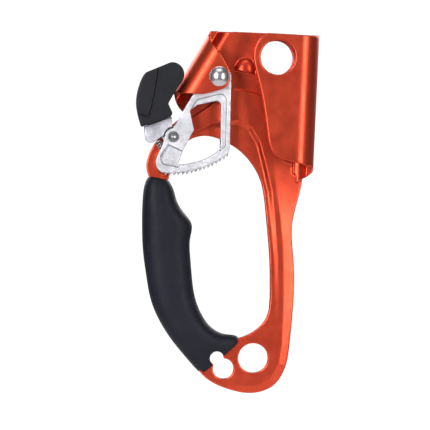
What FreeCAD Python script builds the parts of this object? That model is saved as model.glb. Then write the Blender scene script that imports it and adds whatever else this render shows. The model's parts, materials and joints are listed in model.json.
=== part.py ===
import FreeCAD, Part
import math
import os
import PartDesign
import Sketcher

# Hand ascender: a folded sheet frame with a moulded grip, a toothed cam on a rivet, and a sprung
# catch with a thumb pad, shown with the cam latched open.
#
# Every piece is drawn in the face plane: x to the right, y up the handle, z towards the front.
# One placement then stands it up, so that x stays +X, y becomes +Z and z becomes -Y.
# The origin is the centre of the lower attachment hole, at the middle of the raised band's sheet.

V = FreeCAD.Vector
STAND_UP = FreeCAD.Placement(V(0, 0, 0), FreeCAD.Rotation(V(1, 0, 0), 90))

SIZES = {
    # folded sheet
    "sheet_back": -3.5,
    "wall_front": 0.5,
    "band_front": 2.0,
    "flap_back": 13.0,
    "flap_front": 17.0,
    "opening_step_width": 2.4,
    # holes in the sheet
    "lower_hole_radius": 8.0,
    "upper_hole_radius": 9.2,
    "upper_hole_x": 8.5,
    "upper_hole_y": 161.0,
    "slot_small_radius": 3.8,
    "slot_small_x": -19.6,
    "slot_small_y": -0.2,
    "slot_large_radius": 5.6,
    "slot_large_x": -15.9,
    "slot_large_y": -6.0,
    # folds: the lines that they are bent about, and the louver behind the rope
    "left_fold_x": -42.6,
    "left_fold_y": 126.8,
    "left_fold_slant": 29.9,
    "left_fold_length": 62.0,
    "right_fold_x": 18.9,
    "right_fold_y": 90.0,
    "right_fold_slant": 1.25,
    "right_fold_length": 90.0,
    "fold_leg": 26.0,
    "louver_x": -8.2,
    "louver_y": 153.1,
    # cam and its pivot
    "pivot_x": -22.3,
    "pivot_y": 150.2,
    "cam_back": 2.4,
    "cam_front": 12.1,
    "rail_recess": 1.1,
    "floor_recess": 2.5,
    "slot_back": 5.4,
    "slot_front": 9.1,
    "lever_play": 0.3,
    "spring_slot_radius": 6.6,
    "bush_radius": 4.0,
    "bush_bore": 3.05,
    "rivet_radius": 3.0,
    "rivet_head_radius": 5.15,
    "rivet_head_height": 2.3,
    "rivet_tail_radius": 4.6,
    "rivet_tail_height": 1.4,
    "washer_radius": 6.0,
    "washer_play": 0.1,
    "spike_rows": 4,
    "spike_radius": 0.85,
    "spike_tip_radius": 0.12,
    "spike_height": 1.5,
    "spike_pitch": 4.6,
    # catch
    "catch_x": -45.7,
    "catch_y": 117.9,
    "catch_pin_radius": 2.0,
    "catch_pin_bore": 2.05,
    "catch_eye_radius": 4.2,
    "catch_disc_radius": 1.9,
    "catch_ring_radius": 2.9,
    "cheek_radius": 4.4,
    "lever_back": 3.0,
    "lever_front": 11.4,
    "pad_back": 3.2,
    "pad_front": 20.0,
    "pad_ridge": 2.0,
    "lobe_back": 17.5,
    "fold_sweep_radius": 28.4,
    # springs
    "cam_spring_wire": 0.55,
    "cam_spring_radius": 4.75,
    "cam_spring_turns": 1.9,
    "cam_spring_gap": 0.08,
    "catch_spring_wire": 0.4,
    "catch_spring_radius": 1.65,
    "catch_spring_length": 7.6,
    "catch_spring_pitch": 1.45,
    "spring_end_play": 0.1,
    # grip
    "grip_depth": 18.0,
    "grip_centre": -0.75,
    "grip_squareness": 0.78,
}

doc = FreeCAD.newDocument("Ascender")
sheet = doc.addObject("Spreadsheet::Sheet", "Sizes")
for row, (alias, value) in enumerate(SIZES.items(), start=1):
    sheet.set(f"A{row}", alias)
    sheet.set(f"B{row}", str(value))
    sheet.setAlias(f"B{row}", alias)
doc.recompute()


def size(alias):
    return float(sheet.get(alias))


PIVOT = V(size("pivot_x"), size("pivot_y"), 0)
CATCH = V(size("catch_x"), size("catch_y"), 0)


def feature(name, shape):
    """Stands a shape drawn in the face plane up as a piece."""
    piece = doc.addObject("Part::Feature", name)
    piece.Shape = shape
    piece.Placement = STAND_UP
    return piece


# ---- outlines ---------------------------------------------------------------------------------

def smooth_curve(points):
    """Curve through the points, with centripetal spacing so that it doesn't overshoot."""
    places = [0.0]
    for a, b in zip(points, points[1:]):
        places.append(places[-1] + math.sqrt(a.distanceToPoint(b)))
    curve = Part.BSplineCurve()
    curve.interpolate(Points=points, Parameters=places)
    return curve


def outline(start, *steps):
    """Closed outline as a list of edges. A step is a point (straight), ("arc", middle, end) or
    ("curve", point, ..., end), a smooth curve through the points."""
    here = V(*start, 0)
    first = here
    geometry = []
    for step in steps:
        if step[0] == "arc":
            middle, end = V(*step[1], 0), V(*step[2], 0)
            geometry.append(Part.Arc(here, middle, end))
        elif step[0] == "curve":
            points = [here] + [V(*p, 0) for p in step[1:]]
            geometry.append(smooth_curve(points))
            end = points[-1]
        else:
            end = V(*step, 0)
            geometry.append(Part.LineSegment(here, end))
        here = end
    if here.distanceToPoint(first) > 1e-6:
        geometry.append(Part.LineSegment(here, first))
    return geometry


def prism(geometry, low, high):
    """Solid over an outline, from depth low to depth high."""
    wire = Part.Wire([g.toShape() for g in geometry])
    face = Part.Face(wire)
    face.translate(V(0, 0, low))
    return face.extrude(V(0, 0, high - low))


def cylinder(x, y, radius, low, high):
    return Part.makeCylinder(radius, high - low, V(x, y, low))


def polygon_wire(points):
    return Part.makePolygon(points + [points[0]])


# ---- frame ------------------------------------------------------------------------------------

PLATE = outline(
    (-14.8, 174.6),
    (20.0, 174.0),
    (18.6, 99.5),
    (24.3, 96.4),
    ("curve", (22.3, 86.0), (19.6, 73.5), (19.6, 63.0), (21.1, 47.0), (21.0, 28.0),
     (19.4, 6.0), (17.6, -4.5), (12.3, -13.8), (5.0, -17.9), (-2.5, -18.9), (-12.0, -17.2),
     (-22.7, -12.8), (-30.0, -5.5)),
    ("curve", (-42.0, 11.0), (-51.5, 27.0), (-56.6, 47.0), (-58.5, 68.0), (-58.2, 84.0),
     (-57.0, 93.0)),
    ("curve", (-58.3, 97.0), (-59.4, 101.5), (-58.2, 108.0), (-54.8, 114.8), (-50.5, 120.6)),
    (-45.6, 124.6),
    (-41.6, 128.2),
    (-39.8, 131.4),
)

FINGER_OPENING = outline(
    (-47.2, 96.0),
    ("curve", (-46.3, 102.0), (-43.0, 109.5), (-37.5, 115.7), (-28.4, 118.6), (-19.0, 116.4),
     (-8.6, 110.2), (-0.4, 100.2), (3.3, 90.4), (5.6, 74.0), (7.7, 54.0), (8.4, 36.0),
     (7.4, 23.8), (2.6, 16.4), (-6.0, 11.2)),
    ("curve", (-13.0, 9.8), (-21.0, 11.3), (-29.8, 20.5), (-35.2, 34.0), (-37.8, 52.0),
     (-39.2, 68.0), (-43.6, 80.5), (-47.2, 90.0), (-47.2, 96.0)),
)

# the wall behind the rope lies a little behind the raised band; this is the area above the step
ROPE_WALL = outline(
    (-60.0, 117.0),
    ("curve", (-47.0, 121.5), (-36.1, 128.0), (-24.8, 136.0), (-15.0, 143.0), (-3.8, 142.3),
     (8.0, 137.0), (15.5, 125.0), (19.5, 110.0), (25.0, 92.0)),
    (45.0, 92.0),
    (45.0, 190.0),
    (-60.0, 190.0),
)

# the hollow behind the raised band, which keeps the sheet at one thickness
BAND_HOLLOW = outline(
    (-33.0, 126.5),
    ("curve", (-22.5, 134.0), (-13.0, 140.5), (-4.0, 139.6), (6.0, 134.0), (11.0, 123.0),
     (10.0, 108.0), (10.5, 88.0), (12.7, 74.5), (14.2, 62.0), (15.0, 47.0), (15.4, 28.0),
     (15.0, 8.0), (13.5, -3.0), (9.0, -10.2), (2.5, -14.3), (-5.0, -15.0), (-13.0, -12.0)),
    (-24.0, -6.0),
    (-14.0, 14.0),
    (0.0, 24.0),
    ("curve", (10.4, 30.0), (11.8, 40.0), (11.2, 53.0), (9.0, 73.0), (6.8, 90.5), (3.3, 103.8),
     (-0.5, 115.6), (-5.2, 122.4), (-11.5, 125.4), (-24.8, 123.4), (-35.0, 118.8)),
)

# stations of the step round the finger opening: top of the step, a point inside the opening, depth
OPENING_STEP = [
    ((-52.0, 92.0), (-41.0, 92.0), 1.97),
    ((-52.5, 103.0), (-41.0, 100.0), 1.2),
    ((-46.0, 112.5), (-38.0, 105.0), 0.4),
    ((-37.0, 119.6), (-31.0, 109.0), 0.4),
    ((-24.8, 125.4), (-24.0, 112.0), 0.4),
    ((-11.5, 127.6), (-16.0, 108.0), 0.4),
    ((-4.2, 124.3), (-11.0, 103.0), 0.4),
    ((0.8, 116.6), (-8.0, 99.0), 0.4),
    ((4.6, 103.8), (-4.0, 94.0), 0.4),
    ((8.1, 90.5), (-1.0, 87.0), 0.7),
    ((10.3, 73.0), (1.0, 72.0), 1.15),
    ((12.4, 53.0), (3.0, 52.0), 1.5),
    ((13.3, 33.0), (3.0, 33.0), 1.7),
    ((13.0, 17.0), (0.0, 24.0), 1.85),
    ((10.0, 8.0), (-6.0, 20.0), 1.97),
]

# stations of the flange along the outer edge: crease, edge, depth of the sheet's front at the edge
OUTER_FLANGE = [
    ((8.4, 108.0), (25.5, 101.0), 0.9),
    ((9.2, 98.0), (23.6, 92.5), 0.6),
    ((10.8, 88.0), (21.9, 84.0), 0.5),
    ((13.0, 74.5), (19.6, 73.5), 0.7),
    ((14.5, 62.0), (19.7, 62.0), 0.85),
    ((15.3, 47.0), (21.1, 47.0), 0.85),
    ((15.7, 28.0), (21.0, 28.0), 0.85),
    ((15.3, 8.0), (19.6, 7.0), 0.9),
    ((14.0, -2.5), (17.8, -4.0), 0.95),
    ((9.6, -10.6), (12.3, -13.8), 1.05),
    ((2.8, -14.8), (4.4, -18.2), 1.25),
    ((-5.0, -15.2), (-6.0, -18.7), 1.55),
    ((-13.5, -11.5), (-15.5, -16.0), 1.97),
]

TONGUE = outline(
    (-26.6, 167.2),
    ("curve", (-22.7, 163.4), (-18.6, 157.2), (-16.5, 151.7), (-17.0, 147.2), (-19.3, 144.2),
     (-23.5, 142.6), (-29.2, 141.0), (-35.3, 140.6), (-44.0, 141.1)),
    (-50.5, 142.7),
    (-31.8, 175.2),
    (-27.8, 171.6),
)
TONGUE_BACK = outline(
    (-52.1, 141.5),
    (-45.5, 140.5),
    ("arc", (-43.8, 135.1), (-40.1, 130.8)),
    (-33.2, 135.9),
    (-10.3, 174.4),
    (-40.2, 174.4),
)
FLAP = outline(
    (2.8, 173.7),
    ("curve", (-1.6, 170.3), (-4.3, 164.3), (-3.8, 156.8), (-0.4, 144.1), (2.6, 129.3),
     (4.7, 116.0), (7.6, 109.8), (14.1, 106.8), (24.9, 104.1)),
    ("curve", (28.6, 103.3), (29.5, 101.8)),
    (38.2, 101.8),
    (38.2, 172.5),
)
FLAP_BACK = outline(
    (11.6, 99.6),
    (19.8, 93.1),
    ("curve", (23.8, 96.4), (28.1, 99.5), (29.6, 101.7)),
    (39.5, 101.7),
    (39.5, 173.1),
    (11.6, 174.0),
)


def stepped_cutters(stations, slope_width, beyond):
    """Cutters for a step in the sheet's front, one between each two stations. Each station gives the
    top of the step, a second point that sets its direction, and the depth; the step reaches its
    depth slope_width away from the top, or at the second point when slope_width is None, and the cut
    runs on past it."""
    band = size("band_front")
    high = band + 4
    sections = []
    for top, far, depth in stations:
        top, far = V(*top, 0), V(*far, 0)
        away = (far - top).normalize()
        points = [top + V(0, 0, band)]
        if slope_width is None:
            reach = (far - top).Length
            corner = top + away * (reach + beyond)
            low = band - (band - depth) * (reach + beyond) / reach
        else:
            corner, low = far, depth
            points.append(top + away * slope_width + V(0, 0, depth))
        points += [corner + V(0, 0, low), corner + V(0, 0, high), top + V(0, 0, high)]
        sections.append(polygon_wire(points))
    return [Part.makeLoft([a, b], True, True) for a, b in zip(sections, sections[1:])]


def folded_edge(base, direction, inward, length, leg):
    """U fold of the sheet along a line, with a front leg and a short stub of the back wall."""
    back, wall = size("sheet_back"), size("wall_front")
    inner, outer = size("flap_back"), size("flap_front")
    middle = (wall + inner) / 2

    def at(u, depth):
        return base + inward * u + V(0, 0, depth)

    big, small, stub = (outer - back) / 2, (inner - wall) / 2, 3.0
    edges = [
        Part.LineSegment(at(leg, outer), at(0, outer)),
        Part.Arc(at(0, outer), at(-big, middle), at(0, back)),
        Part.LineSegment(at(0, back), at(stub, back)),
        Part.LineSegment(at(stub, back), at(stub, wall)),
        Part.LineSegment(at(stub, wall), at(0, wall)),
        Part.Arc(at(0, wall), at(-small, middle), at(0, inner)),
        Part.LineSegment(at(0, inner), at(leg, inner)),
        Part.LineSegment(at(leg, inner), at(leg, outer)),
    ]
    face = Part.Face(Part.Wire([e.toShape() for e in edges]))
    return face.extrude(direction * length)


def trimmed_fold(fold, front_outline, back_outline):
    middle = (size("wall_front") + size("flap_back")) / 2
    front = fold.common(prism(front_outline, middle, 30))
    back = fold.common(prism(back_outline, -10, middle))
    return front.fuse(back)


def slanted_fold(name, x_side):
    """Fold about a slanted line, running inwards (x_side 1 or -1), as long as its cells say."""
    slant = math.radians(size(f"{name}_fold_slant"))
    along = V(math.sin(slant), math.cos(slant), 0)
    inward = V(math.cos(slant), -math.sin(slant), 0) * x_side
    base = V(size(f"{name}_fold_x"), size(f"{name}_fold_y"), 0)
    return folded_edge(base, along, inward, size(f"{name}_fold_length"), size("fold_leg"))


def louver_shape():
    """Half of a flattened dome, pressed out of the wall, with its straight edge below."""
    dome_size = (5.4, 7.6, 3.1)
    stretch = FreeCAD.Matrix()
    stretch.scale(*dome_size)
    louver = Part.makeSphere(1.0).transformGeometry(stretch)
    louver = louver.cut(Part.makeBox(20, 20, 20, V(-10, -20, -10)))
    louver.rotate(V(0, 0, 0), V(0, 0, 1), -12)
    sunk = 0.05
    louver.translate(V(size("louver_x"), size("louver_y"), size("wall_front") - sunk))
    return louver


def frame_shape():
    back, band, front = size("sheet_back"), size("band_front"), size("flap_front")
    plate = prism(PLATE, back, band)
    plate = plate.cut(prism(FINGER_OPENING, back - 1, band + 1))
    plate = plate.cut(prism(ROPE_WALL, size("wall_front"), band + 1))
    cutters = stepped_cutters(OPENING_STEP, size("opening_step_width"), 0)
    cutters += stepped_cutters(OUTER_FLANGE, None, 3.0)
    for cutter in cutters:
        plate = plate.cut(cutter)
    plate = plate.cut(prism(BAND_HOLLOW, back - 1, -band))

    left = trimmed_fold(slanted_fold("left", 1), TONGUE, TONGUE_BACK)
    right = trimmed_fold(slanted_fold("right", -1), FLAP, FLAP_BACK)
    whole = plate.fuse([left, right, louver_shape()])

    # one tool for each hole: where it is, its radius and how far forward it goes
    holes = [
        (size("upper_hole_x"), size("upper_hole_y"), size("upper_hole_radius"), front),
        (0, 0, size("lower_hole_radius"), band),
        (size("slot_small_x"), size("slot_small_y"), size("slot_small_radius"), band),
        (size("slot_large_x"), size("slot_large_y"), size("slot_large_radius"), band),
        (PIVOT.x, PIVOT.y, size("rivet_radius"), front),
    ]
    for x, y, radius, reach in holes:
        whole = whole.cut(cylinder(x, y, radius, back - 5, reach + 5))
    return whole.removeSplitter()


# ---- grip -------------------------------------------------------------------------------------

# stations down the grip: outer side, finger side, share of the full depth
GRIP_STATIONS = [
    ((-58.0, 96.6), (-47.3, 94.6), 0.62),
    ((-60.0, 92.4), (-45.6, 91.6), 0.80),
    ((-61.0, 84.5), (-43.0, 84.0), 0.94),
    ((-61.2, 77.0), (-38.6, 77.0), 1.0),
    ((-61.1, 70.5), (-34.6, 71.5), 1.0),
    ((-60.8, 62.5), (-35.2, 63.5), 1.0),
    ((-60.0, 54.0), (-35.0, 54.5), 1.0),
    ((-58.3, 43.4), (-33.8, 42.8), 1.0),
    ((-55.6, 30.5), (-31.6, 31.0), 1.0),
    ((-50.8, 19.4), (-27.6, 22.0), 1.0),
    ((-44.0, 9.0), (-22.6, 16.0), 0.96),
    ((-36.6, 0.2), (-15.6, 12.6), 0.88),
    ((-30.6, -6.4), (-9.6, 11.9), 0.74),
    ((-27.2, -9.2), (-6.9, 9.2), 0.60),
]


def grip_section(outer, inner, share):
    """Rounded cross-section of the grip between its outer side and its finger side."""
    outer, inner = V(*outer, 0), V(*inner, 0)
    centre = (outer + inner) / 2
    across = (inner - outer) / 2
    half_depth = size("grip_depth") / 2 * share
    squareness = size("grip_squareness")
    count = 12
    points = []
    for k in range(count):
        angle = 2 * math.pi * k / count
        c, s = math.cos(angle), math.sin(angle)
        u = math.copysign(abs(c) ** squareness, c)
        w = math.copysign(abs(s) ** squareness, s)
        points.append(centre + across * u + V(0, 0, size("grip_centre") + half_depth * w))
    curve = Part.BSplineCurve()
    curve.interpolate(points, PeriodicFlag=True)
    return Part.Wire(curve.toShape())


def grip_shape(frame):
    body = Part.makeLoft([grip_section(*station) for station in GRIP_STATIONS], True, False)
    body = body.cut(frame)
    low, high = -size("grip_depth"), size("grip_depth")
    for name in ("slot_small", "slot_large"):
        x, y, radius = size(f"{name}_x"), size(f"{name}_y"), size(f"{name}_radius")
        body = body.cut(cylinder(x, y, radius, low, high))
    return max(body.Solids, key=lambda s: s.Volume)


# ---- cam --------------------------------------------------------------------------------------

TOOTHED_EDGE = [(-16.1, 110.1), (-19.7, 107.1), (-24.9, 104.0), (-30.2, 101.7), (-37.5, 99.5),
                (-45.4, 98.6), (-51.3, 98.8)]

CAM = outline(
    (-35.5, 140.8),
    (-27.6, 153.0),
    ("arc", (-20.4, 156.4), (-15.7, 150.4)),
    (-15.6, 114.1),
    TOOTHED_EDGE[0],
    ("curve", *TOOTHED_EDGE[1:]),
    ("curve", (-54.0, 101.1), (-54.7, 103.7), (-53.9, 107.3)),
    (-51.1, 114.0),
    (-50.1, 118.3),
    ("arc", (-48.8, 121.0), (-46.0, 122.3)),
    (-45.2, 123.5),
    ("curve", (-42.7, 127.5), (-39.7, 133.4), (-35.5, 140.8)),
)
CAM_WINDOW = outline(
    (-33.3, 134.9),
    (-24.1, 137.0),
    ("arc", (-21.6, 136.6), (-20.8, 134.4)),
    (-20.6, 111.9),
    ("curve", (-25.0, 108.2), (-29.8, 105.8), (-36.6, 103.8), (-42.9, 103.0)),
    (-40.4, 110.7),
    (-34.9, 121.7),
    (-37.2, 131.7),
)
RAIL_RECESS = outline(
    (-33.6, 137.8),
    (-22.6, 140.8),
    ("arc", (-19.1, 140.2), (-18.0, 137.2)),
    (-17.8, 113.6),
    (-21.2, 110.3),
    (-20.8, 134.4),
    (-33.3, 134.9),
    (-37.2, 131.7),
)
FLOOR_RECESS = outline(
    (-48.5, 113.8),
    (-40.6, 110.3),
    (-38.5, 108.1),
    (-42.4, 101.6),
    (-48.0, 102.6),
    ("arc", (-51.6, 104.1), (-52.2, 107.7)),
)


# room round the catch's curved faces
SWING_PLAY = 0.6


def arc_about(centre, radius, start_deg, end_deg):
    """Start, middle and end of an arc about a centre."""
    points = []
    for angle in (start_deg, (start_deg + end_deg) / 2, end_deg):
        a = math.radians(angle)
        points.append((centre.x + radius * math.cos(a), centre.y + radius * math.sin(a)))
    return points


# the catch spring's axis, from the lever's underside to its seat in the cam
SPRING_TOP = V(-54.2, 116.0, 0)
SPRING_AXIS = V(0.55, -0.835, 0)
SPRING_FOOT = SPRING_TOP + SPRING_AXIS * size("catch_spring_length")
SEAT_HALF_WIDTH = 2.4
SPRING_SIDE = V(-SPRING_AXIS.y, SPRING_AXIS.x, 0) * SEAT_HALF_WIDTH
SPRING_SEAT = [
    (SPRING_FOOT.x - SPRING_SIDE.x, SPRING_FOOT.y - SPRING_SIDE.y),
    (SPRING_FOOT.x + SPRING_SIDE.x, SPRING_FOOT.y + SPRING_SIDE.y),
]

# the slot in the cam that the catch lever's eye swings in, with the spring's pocket
SLOT_ARC = arc_about(CATCH, size("catch_eye_radius") + SWING_PLAY, -125, 0)
LEVER_SLOT = outline(
    (-60.2, 113.6),
    (-55.5, 113.6),
    SPRING_SEAT[0],
    SPRING_SEAT[1],
    SLOT_ARC[0],
    ("arc", SLOT_ARC[1], SLOT_ARC[2]),
    (-40.8, 122.0),
    (-44.3, 128.3),
    (-60.2, 128.3),
)


def sketch_on(body, name, geometry, depth):
    """Sketch in the body's face plane, at the depth that a cell of the sheet gives."""
    plane = [f for f in body.Origin.OriginFeatures if f.Role == "XY_Plane"][0]
    sketch = body.newObject("Sketcher::SketchObject", name)
    sketch.AttachmentSupport = [(plane, "")]
    sketch.MapMode = "FlatFace"
    sketch.addGeometry(geometry, False)
    sketch.setExpression("AttachmentOffset.Base.z", depth)
    return sketch


def pad(body, name, geometry, depth, length):
    feature = body.newObject("PartDesign::Pad", name)
    feature.Profile = sketch_on(body, name + "_sketch", geometry, depth)
    feature.setExpression("Length", length)
    return feature


def pocket(body, name, geometry, depth, length):
    """Pocket that starts at a depth and cuts backwards by a length."""
    feature = body.newObject("PartDesign::Pocket", name)
    feature.Profile = sketch_on(body, name + "_sketch", geometry, depth)
    feature.setExpression("Length", length)
    return feature


def circle(x, y, radius):
    return [Part.Circle(V(x, y, 0), V(0, 0, 1), radius)]


def new_body(label):
    body = doc.addObject("PartDesign::Body", label)
    body.Label = label
    return body


def toothed_edge_frames(pitch, shift):
    """Points along the toothed edge, one pitch apart, each with its outward direction."""
    edge = smooth_curve([V(*p, 0) for p in TOOTHED_EDGE]).toShape()
    first, last = 1.2, edge.Length - 0.8
    distance = first + shift
    while distance < last:
        parameter = edge.getParameterByLength(distance)
        tangent = edge.tangentAt(parameter)
        outward = V(-tangent.y, tangent.x, 0)
        yield edge.valueAt(parameter), outward if outward.y < 0 else outward * -1
        distance += pitch


def cam_spikes():
    """Rows of pointed spikes that lean back along the edge, every other row half a pitch on."""
    low, high = size("cam_back"), size("cam_front")
    rows = int(size("spike_rows"))
    sunk = 0.5
    backwards = V(-0.45, 0, 0)
    spikes = []
    for row in range(rows):
        depth = low + (high - low) * (row + 0.5) / rows
        shift = size("spike_pitch") / 2 * (row % 2)
        for point, outward in toothed_edge_frames(size("spike_pitch"), shift):
            lean = (outward + backwards).normalize()
            foot = point - lean * sunk + V(0, 0, depth)
            length = size("spike_height") + sunk
            tip = size("spike_tip_radius")
            spikes.append(Part.makeCone(size("spike_radius"), tip, length, foot, lean))
    return spikes


def build_cam():
    blank = new_body("cam_blank")
    pad(blank, "cam_plate", CAM, "Sizes.cam_back", "Sizes.cam_front - Sizes.cam_back")
    pocket(blank, "cam_window", CAM_WINDOW, "Sizes.cam_front", "Sizes.cam_front")
    pocket(blank, "rail_recess", RAIL_RECESS, "Sizes.cam_front", "Sizes.rail_recess")
    pocket(blank, "floor_recess", FLOOR_RECESS, "Sizes.cam_front", "Sizes.floor_recess")
    bore = circle(PIVOT.x, PIVOT.y, size("bush_radius"))
    pocket(blank, "pivot_bore", bore, "Sizes.cam_front", "Sizes.cam_front")
    gap = "Sizes.slot_front - Sizes.slot_back"
    slot = circle(PIVOT.x, PIVOT.y, size("spring_slot_radius"))
    pocket(blank, "spring_slot", slot, "Sizes.slot_front", gap)
    eye = circle(CATCH.x, CATCH.y, size("catch_pin_radius"))
    pocket(blank, "catch_bore", eye, "Sizes.cam_front", "Sizes.cam_front")
    pocket(blank, "lever_slot", LEVER_SLOT, "Sizes.slot_front + Sizes.lever_play",
           gap + " + 2 * Sizes.lever_play")
    doc.recompute()
    return feature("cam", blank.Shape.fuse(cam_spikes()).removeSplitter().Solids[0])


# ---- catch ------------------------------------------------------------------------------------

def build_catch_lever():
    lever = new_body("catch_lever")
    clear = size("cheek_radius") + SWING_PLAY
    start, middle, end = arc_about(CATCH, clear, 98, 177)
    block = outline(
        start,
        ("arc", middle, end),
        (-52.3, 117.3),
        (-56.7, 114.4),
        ("arc", (-59.4, 115.0), (-60.6, 117.7)),
        (-61.3, 122.9),
        (-46.6, 128.5),
    )
    length = "Sizes.lever_front - Sizes.lever_back"
    pad(lever, "lever_block", block, "Sizes.lever_back", length)
    start, middle, end = arc_about(CATCH, size("catch_eye_radius"), 105, -85)
    eye = outline(
        start,
        ("arc", middle, end),
        (-50.6, 115.2),
        (-52.0, 119.0),
        (-50.0, 124.0),
    )
    gap = "Sizes.slot_front - Sizes.slot_back"
    pad(lever, "lever_eye", eye, "Sizes.slot_back", gap)
    arm = outline((-58.6, 121.0), (-62.0, 134.0), (-58.0, 148.0), (-51.0, 150.0), (-50.0, 136.0),
                  (-48.2, 125.0))
    pad(lever, "lever_arm", arm, "Sizes.slot_back", gap)
    bore = circle(CATCH.x, CATCH.y, size("catch_pin_bore"))
    pocket(lever, "lever_bore", bore, "Sizes.cam_front", "Sizes.cam_front")
    lever.Placement = STAND_UP
    return lever


THUMB_PAD = outline(
    (-47.4, 128.3),
    (-62.8, 122.5),
    ("curve", (-65.0, 129.8), (-65.8, 135.7), (-65.2, 141.6), (-63.0, 148.5), (-60.8, 151.4)),
    (-49.6, 156.3),
    ("curve", (-45.7, 156.8), (-42.3, 154.6), (-40.9, 151.0), (-41.7, 147.1)),
    (-46.5, 139.8),
    (-49.0, 135.1),
    (-46.6, 130.3),
)
# the pad's lower face, beside and below the ridge that the thumb pushes
PAD_FACE = outline(
    (-54.5, 161.3),
    ("curve", (-55.1, 151.4), (-56.7, 139.6), (-59.3, 128.2)),
    (-72.2, 131.4),
    (-72.2, 115.1),
    (-30.9, 115.1),
    (-30.9, 161.3),
)


def build_thumb_pad(lever):
    blank = new_body("pad_blank")
    top = "Sizes.pad_front + Sizes.pad_ridge"
    pad(blank, "pad_plate", THUMB_PAD, "Sizes.pad_back", top + " - Sizes.pad_back")
    pocket(blank, "pad_face", PAD_FACE, top, "Sizes.pad_ridge")
    sweep = circle(PIVOT.x, PIVOT.y, size("fold_sweep_radius"))
    pocket(blank, "fold_clearance", sweep, "Sizes.lobe_back", "Sizes.lobe_back")
    doc.recompute()
    lever_in_plane = lever.Shape.transformed(STAND_UP.inverse().toMatrix())
    return feature("thumb_pad", blank.Shape.cut(lever_in_plane))


# ---- round pieces -----------------------------------------------------------------------------

def part_cylinder(name, radius, low, high, centre):
    """Part::Cylinder along the depth direction, with its sizes bound to the sheet."""
    piece = doc.addObject("Part::Cylinder", name)
    piece.setExpression("Radius", radius)
    piece.setExpression("Height", f"({high}) - ({low})")
    piece.setExpression("Placement.Base.x", centre[0])
    piece.setExpression("Placement.Base.y", f"-({low})")
    piece.setExpression("Placement.Base.z", centre[1])
    piece.Placement.Rotation = STAND_UP.Rotation
    return piece


PIVOT_CELLS = ("Sizes.pivot_x", "Sizes.pivot_y")
CATCH_CELLS = ("Sizes.catch_x", "Sizes.catch_y")


def ring(name, outer, inner, low, high, centre):
    """Ring along the depth direction, cut from two bound cylinders."""
    cut = doc.addObject("Part::Cut", name)
    cut.Base = part_cylinder(name + "_outside", outer, low, high, centre)
    cut.Tool = part_cylinder(name + "_bore", inner, low + " - 1", high + " + 1", centre)
    return cut


def dome(name, radius, height, base, centre, forwards):
    """Domed rivet head: the cap of a sphere."""
    cap = doc.addObject("Part::Sphere", name)
    ball = f"(({radius}) ^ 2 + ({height}) ^ 2) / (2 * ({height}))"
    cap.setExpression("Radius", ball)
    cap.setExpression("Angle1", f"asin(1 - ({height}) / ({ball} * 1mm) * 1mm)")
    sign, turn = ("+", 90) if forwards else ("-", -90)
    cap.setExpression("Placement.Base.x", centre[0])
    cap.setExpression("Placement.Base.y", f"-({base}) {sign} ({ball} - ({height}))")
    cap.setExpression("Placement.Base.z", centre[1])
    cap.Placement.Rotation = FreeCAD.Rotation(V(1, 0, 0), turn)
    return cap


def fuse(name, pieces):
    joined = doc.addObject("Part::MultiFuse", name)
    joined.Shapes = pieces
    joined.Refine = True
    return joined


def build_cam_rivet():
    shank = part_cylinder("rivet_shank", "Sizes.rivet_radius", "Sizes.sheet_back - 0.2",
                          "Sizes.flap_front + 0.2", PIVOT_CELLS)
    head = dome("rivet_head", "Sizes.rivet_head_radius", "Sizes.rivet_head_height",
                "Sizes.flap_front", PIVOT_CELLS, True)
    tail = dome("rivet_tail", "Sizes.rivet_tail_radius", "Sizes.rivet_tail_height",
                "Sizes.sheet_back", PIVOT_CELLS, False)
    return fuse("cam_rivet", [shank, head, tail])


def build_catch_pin():
    shank = part_cylinder("catch_shank", "Sizes.catch_pin_radius", "Sizes.cam_back",
                          "Sizes.cam_front", CATCH_CELLS)
    disc = part_cylinder("catch_disc", "Sizes.catch_disc_radius", "Sizes.cam_front - 0.1",
                         "Sizes.cam_front + 0.75", CATCH_CELLS)
    return fuse("catch_pin", [shank, disc])


# ---- springs ----------------------------------------------------------------------------------

def coil(radius, wire_radius, pitch, length):
    """Wire wound along +Z about the origin."""
    helix = Part.makeHelix(pitch, length, radius)
    first = helix.Edges[0]
    heading = first.tangentAt(first.FirstParameter)
    section = Part.Circle(helix.Vertexes[0].Point, heading, wire_radius)
    path = Part.Wire(helix.Edges)
    return path.makePipeShell([Part.Wire(section.toShape())], True, True)


def spring(name, shape, start, turn):
    """Coil that starts at a point of the face plane, turned so that its axis lies as it should."""
    piece = feature(name, shape)
    piece.Placement = STAND_UP.multiply(FreeCAD.Placement(start, turn))
    return piece


def build_cam_spring():
    wire = size("cam_spring_wire")
    pitch = 2 * wire + size("cam_spring_gap")
    shape = coil(size("cam_spring_radius"), wire, pitch, pitch * size("cam_spring_turns"))
    start = V(PIVOT.x, PIVOT.y, size("slot_back") + wire + size("spring_end_play"))
    first_end = 100
    return spring("cam_spring", shape, start, FreeCAD.Rotation(V(0, 0, 1), first_end))


def build_catch_spring():
    wire = size("catch_spring_wire")
    inset = wire + size("spring_end_play")
    length = size("catch_spring_length") - 2 * inset
    shape = coil(size("catch_spring_radius"), wire, size("catch_spring_pitch"), length)
    middle = V(0, 0, (size("slot_back") + size("slot_front")) / 2)
    start = SPRING_TOP + SPRING_AXIS * inset + middle
    return spring("catch_spring", shape, start, FreeCAD.Rotation(V(0, 0, 1), SPRING_AXIS))


# ---- the whole --------------------------------------------------------------------------------

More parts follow.
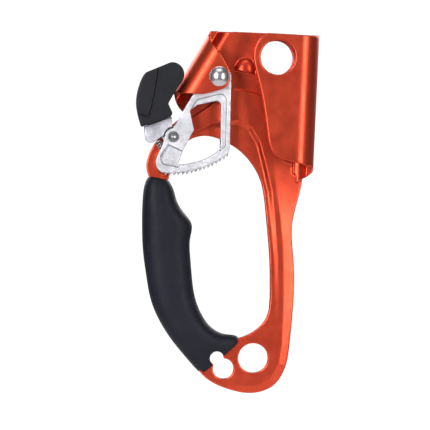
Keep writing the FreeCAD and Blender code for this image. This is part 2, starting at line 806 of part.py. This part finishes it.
frame_local = frame_shape()
lever = build_catch_lever()
doc.recompute()
pieces = [
    feature("frame", frame_local),
    feature("grip", grip_shape(frame_local)),
    build_cam(),
    build_cam_rivet(),
    ring("cam_bush", "Sizes.bush_radius", "Sizes.bush_bore", "Sizes.cam_back",
         "Sizes.cam_front", PIVOT_CELLS),
    ring("cam_washer_rear", "Sizes.washer_radius", "Sizes.bush_bore",
         "Sizes.wall_front + Sizes.washer_play", "Sizes.cam_back - Sizes.washer_play", PIVOT_CELLS),
    ring("cam_washer_front", "Sizes.washer_radius", "Sizes.bush_bore",
         "Sizes.cam_front + Sizes.washer_play", "Sizes.flap_back - Sizes.washer_play", PIVOT_CELLS),
    build_cam_spring(),
    lever,
    build_thumb_pad(lever),
    build_catch_pin(),
    ring("catch_washer", "Sizes.catch_ring_radius", "Sizes.catch_disc_radius",
         "Sizes.cam_front", "Sizes.cam_front + 0.5", CATCH_CELLS),
    build_catch_spring(),
]
doc.recompute()

for item in doc.Objects:
    if "Invalid" in item.State or "Error" in item.State:
        raise RuntimeError(f"{item.Name} failed: {item.State}")

os.makedirs("parts", exist_ok=True)
for piece in pieces:
    shape = piece.Shape
    if shape.isNull() or not shape.isValid():
        raise RuntimeError(f"{piece.Label} has no valid shape")
    box = shape.BoundBox
    print(f"{piece.Label}: {len(shape.Solids)} solid, {shape.Volume / 1000:.2f} cm3, "
          f"x {box.XMin:.1f}..{box.XMax:.1f} y {box.YMin:.1f}..{box.YMax:.1f} "
          f"z {box.ZMin:.1f}..{box.ZMax:.1f}")
    shape.exportStep(f"parts/{piece.Label}.step")
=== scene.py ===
"""Hand ascender on a plain pale floor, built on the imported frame.

Metals and mouldings are copies of the CAD nodes whose edges are rounded and whose steps are softened,
as bending, casting and moulding leave them. That smoothing takes the cam's spikes away, so they are
set again. The rivet and the pin are turned anew. The bush, washers and springs keep their CAD meshes.
"""
import json
import math

import bmesh
import bpy
from mathutils import Matrix, Vector


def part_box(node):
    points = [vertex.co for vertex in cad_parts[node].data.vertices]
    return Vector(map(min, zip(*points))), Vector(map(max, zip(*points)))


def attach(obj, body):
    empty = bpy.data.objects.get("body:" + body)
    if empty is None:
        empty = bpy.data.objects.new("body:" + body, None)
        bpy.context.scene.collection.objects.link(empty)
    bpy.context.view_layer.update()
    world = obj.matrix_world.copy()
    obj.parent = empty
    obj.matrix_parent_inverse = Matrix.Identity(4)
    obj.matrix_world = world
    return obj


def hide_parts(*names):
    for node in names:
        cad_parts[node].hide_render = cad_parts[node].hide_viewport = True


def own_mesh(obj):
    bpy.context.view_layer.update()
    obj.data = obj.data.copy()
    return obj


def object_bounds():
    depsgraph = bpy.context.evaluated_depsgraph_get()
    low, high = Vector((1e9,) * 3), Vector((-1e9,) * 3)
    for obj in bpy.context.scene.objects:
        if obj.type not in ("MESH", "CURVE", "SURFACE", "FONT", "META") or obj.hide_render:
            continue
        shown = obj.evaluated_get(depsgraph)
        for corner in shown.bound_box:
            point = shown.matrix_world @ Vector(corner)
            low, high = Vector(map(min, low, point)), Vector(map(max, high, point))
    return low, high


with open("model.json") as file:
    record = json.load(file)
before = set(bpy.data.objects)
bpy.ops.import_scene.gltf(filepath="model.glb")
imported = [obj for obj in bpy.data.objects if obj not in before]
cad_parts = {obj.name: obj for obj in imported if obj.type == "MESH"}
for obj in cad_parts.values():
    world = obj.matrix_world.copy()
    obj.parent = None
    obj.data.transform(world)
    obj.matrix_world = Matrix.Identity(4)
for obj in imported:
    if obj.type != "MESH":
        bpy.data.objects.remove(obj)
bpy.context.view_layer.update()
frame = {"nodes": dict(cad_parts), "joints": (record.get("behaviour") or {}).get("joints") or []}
MM = 0.001
SCENE = bpy.context.scene

# the cam's lower edge and the spikes along it, in millimetres
TOOTHED_EDGE = [(-16.1, 110.1), (-19.7, 107.1), (-24.9, 104.0), (-30.2, 101.7), (-37.5, 99.5),
                (-45.4, 98.6), (-51.3, 98.8)]
SPIKE_ROWS = 4
SPIKE_PITCH = 4.6
FIRST_SPIKE, LAST_GAP = 1.2, 0.8
SPIKE_LENGTH, SPIKE_ROOT = 1.95, 0.5
SPIKE_FOOT_RADIUS, SPIKE_TIP_RADIUS = 0.92, 0.16
SPIKE_SIDES = 10
SPIKE_LEAN = Vector((-0.45, 0, 0))

# the rivet's shank and its two domed heads, and the pin, in millimetres
RIVET_SHANK_RADIUS = 3.0
FRONT_HEAD_RADIUS, FRONT_HEAD_HEIGHT = 5.15, 2.3
REAR_HEAD_RADIUS, REAR_HEAD_HEIGHT = 4.6, 1.4
PIN_RADIUS, PIN_NOSE_RADIUS = 2.0, 1.88

SHARP_ANGLE = math.radians(32)

FLOOR_RADIUS, FLOOR_CORNERS = 0.35, 64
FLOOR_DROP = 70 * MM
WORLD_LIGHT, BACKDROP_LIGHT = 0.17, 1.05
# name, azimuth and elevation in degrees, distance, width and height in metres, power in watts
SOFTBOXES = (
    ("left_softbox", -28, 10, 1.0, 0.24, 0.6, 6.6),
    ("right_softbox", 33, 6, 1.0, 0.18, 0.6, 4.0),
    ("front_fill", -2, 58, 1.4, 0.9, 0.5, 3.5),
    ("back_left", -145, 25, 1.3, 0.8, 0.8, 8),
    ("back_right", 145, 25, 1.3, 0.8, 0.8, 8),
)

AIM = Vector((-22.1, 0.0, 76.4)) * MM
CAMERA_DISTANCE = 1.2
CAMERA_AZIMUTH, CAMERA_ELEVATION, CAMERA_ROLL = -3.0, 2.0, 1.3
VIEW_WIDTH = 230.351 * MM
SENSOR_WIDTH = 36.0


def joint_place(name):
    """Where a joint's axis stands at rest."""
    return Vector(next(j for j in frame["joints"] if j["name"] == name)["pos_m"])


# ---- shader helpers ---------------------------------------------------------------------------

class Shader:
    """One node material, with short calls for the nodes that it uses."""

    def __init__(self, name):
        self.material = bpy.data.materials.new(name)
        self.material.use_nodes = True
        self.tree = self.material.node_tree
        self.bsdf = self.tree.nodes["Principled BSDF"]
        self.coords = self.tree.nodes.new("ShaderNodeTexCoord")

    def link(self, a, b):
        self.tree.links.new(a, b)

    def place(self, scale=(1, 1, 1)):
        node = self.tree.nodes.new("ShaderNodeMapping")
        node.inputs["Scale"].default_value = scale
        self.link(self.coords.outputs["Object"], node.inputs["Vector"])
        return node.outputs["Vector"]

    def noise(self, scale, detail=3.0, roughness=0.55, stretch=(1, 1, 1)):
        node = self.tree.nodes.new("ShaderNodeTexNoise")
        node.inputs["Scale"].default_value = scale
        node.inputs["Detail"].default_value = detail
        node.inputs["Roughness"].default_value = roughness
        self.link(self.place(stretch), node.inputs["Vector"])
        return node.outputs["Fac"]

    def cells(self, scale):
        node = self.tree.nodes.new("ShaderNodeTexVoronoi")
        node.inputs["Scale"].default_value = scale
        self.link(self.place(), node.inputs["Vector"])
        return node.outputs["Distance"]

    def spread(self, value, low, high, out_low, out_high):
        node = self.tree.nodes.new("ShaderNodeMapRange")
        node.inputs["From Min"].default_value = low
        node.inputs["From Max"].default_value = high
        node.inputs["To Min"].default_value = out_low
        node.inputs["To Max"].default_value = out_high
        self.link(value, node.inputs["Value"])
        return node.outputs["Result"]

    def edges(self, low, high):
        """1 on convex edges, 0 on flat and hollow places."""
        node = self.tree.nodes.new("ShaderNodeNewGeometry")
        return self.spread(node.outputs["Pointiness"], low, high, 0.0, 1.0)

    def combine(self, a, b, how):
        node = self.tree.nodes.new("ShaderNodeMath")
        node.operation = how
        self.link(a, node.inputs[0])
        if hasattr(b, "links"):
            self.link(b, node.inputs[1])
        else:
            node.inputs[1].default_value = b
        return node.outputs[0]

    def blend(self, amount, first, second):
        node = self.tree.nodes.new("ShaderNodeMix")
        node.data_type = "RGBA"
        for socket, colour in (("A", first), ("B", second)):
            target = next(i for i in node.inputs if i.name == socket and i.type == "RGBA")
            if hasattr(colour, "links"):
                self.link(colour, target)
            else:
                target.default_value = (*colour, 1)
        self.link(amount, node.inputs["Factor"])
        return next(o for o in node.outputs if o.type == "RGBA")

    def bump(self, height, strength, distance, base=None):
        node = self.tree.nodes.new("ShaderNodeBump")
        node.inputs["Strength"].default_value = strength
        node.inputs["Distance"].default_value = distance
        self.link(height, node.inputs["Height"])
        if base is not None:
            self.link(base, node.inputs["Normal"])
        return node.outputs["Normal"]

    def finish(self, colour, roughness, normal, **fixed):
        self.link(colour, self.bsdf.inputs["Base Color"])
        self.link(roughness, self.bsdf.inputs["Roughness"])
        self.link(normal, self.bsdf.inputs["Normal"])
        for name, value in fixed.items():
            self.bsdf.inputs[name.replace("_", " ")].default_value = value
        return self.material


# ---- materials --------------------------------------------------------------------------------

def anodised_sheet():
    """Bead-blasted, dyed aluminium: even satin grain, a little lighter in patches on convex edges,
    partly as wear and partly as a painted highlight.
    """
    s = Shader("anodised_sheet")
    cloud = s.spread(s.noise(28, 3), 0.35, 0.65, 0.0, 1.0)
    dye = s.blend(cloud, (0.60, 0.062, 0.027), (0.68, 0.074, 0.033))
    # painted highlight: convex edges are lightened in patches, partly standing for wear and partly
    # for the light they catch
    edge_wear_and_highlight = s.combine(s.edges(0.535, 0.60), s.spread(s.noise(900, 3), 0.4, 0.7, 0.0, 0.5), "MULTIPLY")
    colour = s.blend(edge_wear_and_highlight, dye, (0.82, 0.20, 0.12))
    grain = s.noise(5200, 2, 0.6)
    soft = s.noise(420, 3)
    rough = s.spread(s.noise(160, 4), 0.3, 0.7, 0.30, 0.38)
    normal = s.bump(grain, 0.16, 0.00006, s.bump(soft, 0.05, 0.0002))
    return s.finish(colour, rough, normal, Metallic=0.88)


def grip_rubber():
    """Blue-black moulded rubber with a fine leathery grain and a faint bloom."""
    s = Shader("grip_rubber")
    bloom = s.spread(s.noise(60, 4), 0.35, 0.7, 0.0, 1.0)
    colour = s.blend(bloom, (0.0070, 0.0075, 0.0135), (0.0105, 0.0115, 0.0200))
    pores = s.cells(1500)
    rough = s.spread(s.noise(240, 4), 0.3, 0.7, 0.46, 0.58)
    normal = s.bump(pores, 0.22, 0.00012, s.bump(s.noise(320, 3), 0.08, 0.0002))
    return s.finish(colour, rough, normal, Specular_IOR_Level=0.2)


def pad_plastic():
    """Black glass-filled plastic with a spark-eroded texture, lighter on convex edges, partly as wear
    and partly as a painted highlight.
    """
    s = Shader("pad_plastic")
    flow = s.spread(s.noise(45, 4), 0.3, 0.7, 0.0, 1.0)
    black = s.blend(flow, (0.007, 0.0072, 0.010), (0.011, 0.0115, 0.0155))
    # painted highlight: bevels and convex edges are lightened, partly standing for wear and partly
    # for the highlight they catch
    colour = s.blend(s.edges(0.53, 0.60), black, (0.034, 0.035, 0.042))
    rough = s.spread(s.noise(500, 4), 0.3, 0.7, 0.40, 0.54)
    normal = s.bump(s.noise(2600, 3, 0.7), 0.25, 0.00012)
    return s.finish(colour, rough, normal, Specular_IOR_Level=0.24)


def cast_metal(name, bright, dull, rough_low, rough_high, bump):
    """Cast and tumbled metal, brighter on convex edges, partly as rubbed wear and partly as a painted
    highlight, and darker in concave places as painted shade.
    """
    s = Shader(name)
    tumble = s.spread(s.noise(190, 5, 0.6), 0.32, 0.68, 0.0, 1.0)
    base = s.blend(tumble, dull, bright)
    # painted highlight: convex edges are brightened, partly as rubbed wear and partly for the light
    # they catch
    edge_rub_and_highlight = s.combine(s.edges(0.53, 0.62), 0.6, "MULTIPLY")
    colour = s.blend(edge_rub_and_highlight, base, tuple(min(1.0, 1.12 * c) for c in bright))
    rough = s.spread(s.noise(700, 4, 0.6), 0.3, 0.7, rough_low, rough_high)
    fine = s.noise(1500, 4, 0.7)
    normal = s.bump(fine, bump, 0.00025, s.bump(s.noise(260, 3), 0.14, 0.0004))
    # painted shade: concave places are darkened, standing for the shade that falls in them
    painted_hollow_shade = s.edges(0.40, 0.50)
    colour = s.blend(painted_hollow_shade, tuple(0.35 * c for c in dull), colour)
    return s.finish(colour, rough, normal, Metallic=1.0)


def turned_metal(name, low, high, rough_low, rough_high):
    """Turned or drawn metal with fine lines."""
    s = Shader(name)
    lines = s.noise(90, 4, 0.6, (40, 3, 40))
    colour = s.blend(s.spread(lines, 0.3, 0.7, 0.0, 1.0), low, high)
    rough = s.spread(s.noise(500, 3), 0.3, 0.7, rough_low, rough_high)
    normal = s.bump(lines, 0.06, 0.00005)
    return s.finish(colour, rough, normal, Metallic=1.0)


def washer_plastic():
    """Pale, slightly uneven plain plastic."""
    s = Shader("washer_plastic")
    colour = s.blend(s.noise(300, 3), (0.62, 0.62, 0.58), (0.72, 0.71, 0.67))
    rough = s.spread(s.noise(800, 3), 0.3, 0.7, 0.35, 0.5)
    return s.finish(colour, rough, s.bump(s.noise(1800, 2), 0.08, 0.00005))


ORANGE = anodised_sheet()
RUBBER = grip_rubber()
PLASTIC = pad_plastic()
CAM_METAL = cast_metal("cam_metal", bright=(0.68, 0.68, 0.72), dull=(0.44, 0.44, 0.47),
                       rough_low=0.34, rough_high=0.48, bump=0.6)
LEVER_METAL = cast_metal("lever_metal", bright=(0.66, 0.66, 0.72), dull=(0.36, 0.36, 0.40),
                         rough_low=0.34, rough_high=0.50, bump=0.65)
RIVET_STEEL = cast_metal("rivet_steel", bright=(0.62, 0.61, 0.63), dull=(0.54, 0.53, 0.55),
                         rough_low=0.25, rough_high=0.31, bump=0.02)
PIN_STEEL = turned_metal("pin_steel", low=(0.22, 0.22, 0.225), high=(0.34, 0.34, 0.345),
                         rough_low=0.28, rough_high=0.4)
SPRING_STEEL = turned_metal("spring_steel", low=(0.40, 0.40, 0.41), high=(0.55, 0.55, 0.56),
                            rough_low=0.22, rough_high=0.32)
BUSH_METAL = turned_metal("bush_metal", low=(0.55, 0.38, 0.16), high=(0.66, 0.48, 0.22),
                          rough_low=0.25, rough_high=0.35)
WASHER = washer_plastic()


# ---- pieces -----------------------------------------------------------------------------------

def applied(obj):
    """Replaces an object's mesh by what its modifiers make of it."""
    graph = bpy.context.evaluated_depsgraph_get()
    mesh = bpy.data.meshes.new_from_object(obj.evaluated_get(graph))
    obj.modifiers.clear()
    obj.data = mesh


def add_object(name, data):
    obj = bpy.data.objects.new(name, data)
    SCENE.collection.objects.link(obj)
    return obj


def coat(obj, material):
    """Gives an object one material and no other."""
    obj.data.materials.clear()
    obj.data.materials.append(material)


def shade_smooth(mesh):
    mesh.polygons.foreach_set("use_smooth", [True] * len(mesh.polygons))


def softened(name, node, body, material, voxel, passes, keep):
    """Copy of a CAD node with rounded edges: fine remesh, a few smoothing passes, then thinning."""
    obj = add_object(name, frame["nodes"][node].data.copy())
    remesh = obj.modifiers.new("remesh", "REMESH")
    remesh.mode = "VOXEL"
    remesh.voxel_size = voxel
    remesh.adaptivity = 0.0
    smooth = obj.modifiers.new("smooth", "SMOOTH")
    smooth.factor = 0.5
    smooth.iterations = passes
    thin = obj.modifiers.new("thin", "DECIMATE")
    thin.ratio = keep
    applied(obj)
    coat(obj, material)
    shade_smooth(obj.data)
    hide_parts(node)
    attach(obj, body)
    return obj


def add_spikes(obj):
    """Pointed spikes in staggered rows along the cam's lower edge, leaning back from the rope."""
    edge = [Vector((x, 0, z)) * MM for x, z in TOOTHED_EDGE]
    front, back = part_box("cam")[0][1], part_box("cam")[1][1]
    mesh = bmesh.new()
    mesh.from_mesh(obj.data)
    lengths = [(b - a).length for a, b in zip(edge, edge[1:])]
    for row in range(SPIKE_ROWS):
        depth = back + (front - back) * (row + 0.5) / SPIKE_ROWS
        along = (FIRST_SPIKE + SPIKE_PITCH / 2 * (row % 2)) * MM
        while along < sum(lengths) - LAST_GAP * MM:
            part, left = 0, along
            while left > lengths[part]:
                left -= lengths[part]
                part += 1
            tangent = (edge[part + 1] - edge[part]).normalized()
            outward = Vector((tangent.z, 0, -tangent.x))
            outward = outward if outward.z < 0 else -outward
            lean = (outward + SPIKE_LEAN).normalized()
            foot = edge[part] + tangent * left + Vector((0, depth, 0)) - lean * SPIKE_ROOT * MM
            length = SPIKE_LENGTH * MM
            turn = lean.to_track_quat("Z", "Y").to_matrix().to_4x4()
            bmesh.ops.create_cone(
                mesh, cap_ends=True, segments=SPIKE_SIDES, radius1=SPIKE_FOOT_RADIUS * MM,
                radius2=SPIKE_TIP_RADIUS * MM, depth=length,
                matrix=Matrix.Translation(foot + lean * length / 2) @ turn)
            along += SPIKE_PITCH * MM
    mesh.to_mesh(obj.data)
    mesh.free()
    shade_smooth(obj.data)


def turned(name, node, body, material, centre, profile, segments=96):
    """Round piece along the depth direction, turned from (radius, depth) points in millimetres."""
    rows, faces, points = [], [], []
    for radius, depth in profile:
        row = []
        for k in range(1 if radius == 0 else segments):
            angle = 2 * math.pi * k / segments
            row.append(len(points))
            points.append((centre.x + radius * MM * math.cos(angle), -depth * MM,
                           centre.z + radius * MM * math.sin(angle)))
        rows.append(row)
    for low, high in zip(rows, rows[1:]):
        for k in range(segments):
            corners = [low[k % len(low)], low[(k + 1) % len(low)],
                       high[(k + 1) % len(high)], high[k % len(high)]]
            faces.append(tuple(dict.fromkeys(corners)))
    mesh = bpy.data.meshes.new(name)
    mesh.from_pydata(points, [], faces)
    tidy = bmesh.new()
    tidy.from_mesh(mesh)
    bmesh.ops.recalc_face_normals(tidy, faces=tidy.faces)
    tidy.to_mesh(mesh)
    tidy.free()
    shade_smooth(mesh)
    mesh.set_sharp_from_angle(angle=SHARP_ANGLE)
    obj = add_object(name, mesh)
    coat(obj, material)
    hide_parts(node)
    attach(obj, body)


def cap_points(radius, height, base, sign, edge=0.18, steps=14):
    """Profile of a domed head from its rim to its middle, with a small radius at the rim."""
    ball = (radius ** 2 + height ** 2) / (2 * height)
    reach = math.asin(radius / ball)
    points = [(radius - edge, base), (radius, base + sign * edge)]
    for k in range(1, steps):
        angle = reach * (1 - k / steps)
        rise = ball * math.cos(angle) - (ball - height)
        if rise > edge:
            points.append((ball * math.sin(angle), base + sign * rise))
    return points + [(0, base + sign * height)]


def depth_span(node):
    """How far in front of the frame's zero plane a node's front and back lie, in millimetres."""
    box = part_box(node)
    return -box[0][1] / MM, -box[1][1] / MM


def rivet_profile():
    """Rear head, shank and front head."""
    front, back = depth_span("cam_rivet")
    under_rear, under_front = back + REAR_HEAD_HEIGHT, front - FRONT_HEAD_HEIGHT
    rear_head = cap_points(REAR_HEAD_RADIUS, REAR_HEAD_HEIGHT, under_rear, -1)[::-1]
    front_head = cap_points(FRONT_HEAD_RADIUS, FRONT_HEAD_HEIGHT, under_front, 1)
    shank = [(RIVET_SHANK_RADIUS, under_rear), (RIVET_SHANK_RADIUS, under_front)]
    return rear_head + shank + front_head


def pin_profile():
    """Chamfered tail, straight body, and a slimmer nose with a rounded rim and a dimple."""
    front, back = depth_span("catch_pin")
    body = [(0, back), (PIN_RADIUS - 0.2, back), (PIN_RADIUS, back + 0.2), (PIN_RADIUS, front - 0.8)]
    nose = [(PIN_NOSE_RADIUS, front - 0.75), (PIN_NOSE_RADIUS, front - 0.2), (1.7, front - 0.02),
            (1.2, front)]
    dimple = [(0.7, front - 0.12), (0.35, front - 0.3), (0, front - 0.34)]
    return body + nose + dimple


softened("frame_sheet", "frame", "frame_body", ORANGE,
         voxel=0.38 * MM, passes=6, keep=0.36)
softened("hand_grip", "grip", "frame_body", RUBBER,
         voxel=0.55 * MM, passes=14, keep=0.6)
toothed_cam = softened("toothed_cam", "cam", "cam_body", CAM_METAL,
                       voxel=0.24 * MM, passes=4, keep=0.5)
add_spikes(toothed_cam)
softened("trigger_lever", "catch_lever", "catch_body", LEVER_METAL,
         voxel=0.25 * MM, passes=5, keep=0.6)
softened("trigger_cover", "thumb_pad", "catch_body", PLASTIC,
         voxel=0.35 * MM, passes=9, keep=0.6)

turned("pivot_rivet", "cam_rivet", "frame_body", RIVET_STEEL,
       joint_place("cam_pivot"), rivet_profile())
turned("trigger_pin", "catch_pin", "cam_body", PIN_STEEL,
       joint_place("catch_pivot"), pin_profile(), segments=48)

for cad_node, cad_material in (
    ("cam_bush", BUSH_METAL),
    ("cam_washer_front", WASHER),
    ("cam_washer_rear", WASHER),
    ("cam_spring", SPRING_STEEL),
    ("catch_washer", PIN_STEEL),
):
    coat(frame["nodes"][cad_node], cad_material)

# the trigger's spring, a copy of the CAD spring with a mesh of its own, rides with the cam
spring = add_object("trigger_spring", frame["nodes"]["catch_spring"].data.copy())
coat(spring, SPRING_STEEL)
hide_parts("catch_spring")
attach(spring, "cam_body")
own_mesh(spring)


# ---- floor, light and camera ------------------------------------------------------------------

def outwards(azimuth, elevation):
    """Direction from the object, 0 degrees being straight in front of it."""
    a, e = math.radians(azimuth), math.radians(elevation)
    return Vector((math.sin(a) * math.cos(e), -math.cos(a) * math.cos(e), math.sin(e)))


def floor_disc():
    """Pale floor below the object, out of sight of the main view."""
    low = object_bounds()[0][2] - FLOOR_DROP
    turns = [2 * math.pi * k / FLOOR_CORNERS for k in range(FLOOR_CORNERS)]
    ring = [(FLOOR_RADIUS * math.cos(t), FLOOR_RADIUS * math.sin(t), low) for t in turns]
    mesh = bpy.data.meshes.new("floor")
    mesh.from_pydata(ring, [], [tuple(range(FLOOR_CORNERS))])
    floor = add_object("floor", mesh)
    pale = Shader("pale_floor")
    colour = pale.blend(pale.noise(3, 2), (0.93, 0.93, 0.93), (0.96, 0.96, 0.96))
    rough = pale.spread(pale.noise(8, 2), 0.3, 0.7, 0.7, 0.8)
    normal = pale.bump(pale.noise(40, 2), 0.02, 0.001)
    mesh.materials.append(pale.finish(colour, rough, normal))


def studio_world():
    """A dim world lights the object, and the camera sees a white one."""
    world = bpy.data.worlds.new("studio")
    SCENE.world = world
    world.use_nodes = True
    tree = world.node_tree
    ambient = tree.nodes["Background"]
    backdrop = tree.nodes.new("ShaderNodeBackground")
    for node, strength in ((ambient, WORLD_LIGHT), (backdrop, BACKDROP_LIGHT)):
        node.inputs["Color"].default_value = (1, 1, 1, 1)
        node.inputs["Strength"].default_value = strength
    path = tree.nodes.new("ShaderNodeLightPath")
    mix = tree.nodes.new("ShaderNodeMixShader")
    tree.links.new(path.outputs["Is Camera Ray"], mix.inputs[0])
    tree.links.new(ambient.outputs[0], mix.inputs[1])
    tree.links.new(backdrop.outputs[0], mix.inputs[2])
    tree.links.new(mix.outputs[0], tree.nodes["World Output"].inputs["Surface"])


def softbox(name, azimuth, elevation, distance, width, height, power):
    data = bpy.data.lights.new(name, "AREA")
    data.shape = "RECTANGLE"
    data.size, data.size_y, data.energy = width, height, power
    lamp = add_object(name, data)
    out = outwards(azimuth, elevation)
    lamp.location = AIM + out * distance
    lamp.rotation_euler = (-out).to_track_quat("-Z", "Y").to_euler()


def camera():
    data = bpy.data.cameras.new("camera")
    data.sensor_width = SENSOR_WIDTH
    data.lens = SENSOR_WIDTH * CAMERA_DISTANCE / VIEW_WIDTH
    data.clip_start, data.clip_end = 0.05, 50
    cam = add_object("camera", data)
    out = outwards(CAMERA_AZIMUTH, CAMERA_ELEVATION)
    turn = (-out).to_track_quat("-Z", "Y").to_matrix().to_4x4()
    roll = Matrix.Rotation(math.radians(CAMERA_ROLL), 4, "Z")
    cam.matrix_world = Matrix.Translation(AIM + out * CAMERA_DISTANCE) @ turn @ roll
    SCENE.camera = cam


floor_disc()
studio_world()
for softbox_row in SOFTBOXES:
    softbox(*softbox_row)
camera()
SCENE.view_settings.view_transform = "Standard"
SCENE.view_settings.look = "None"
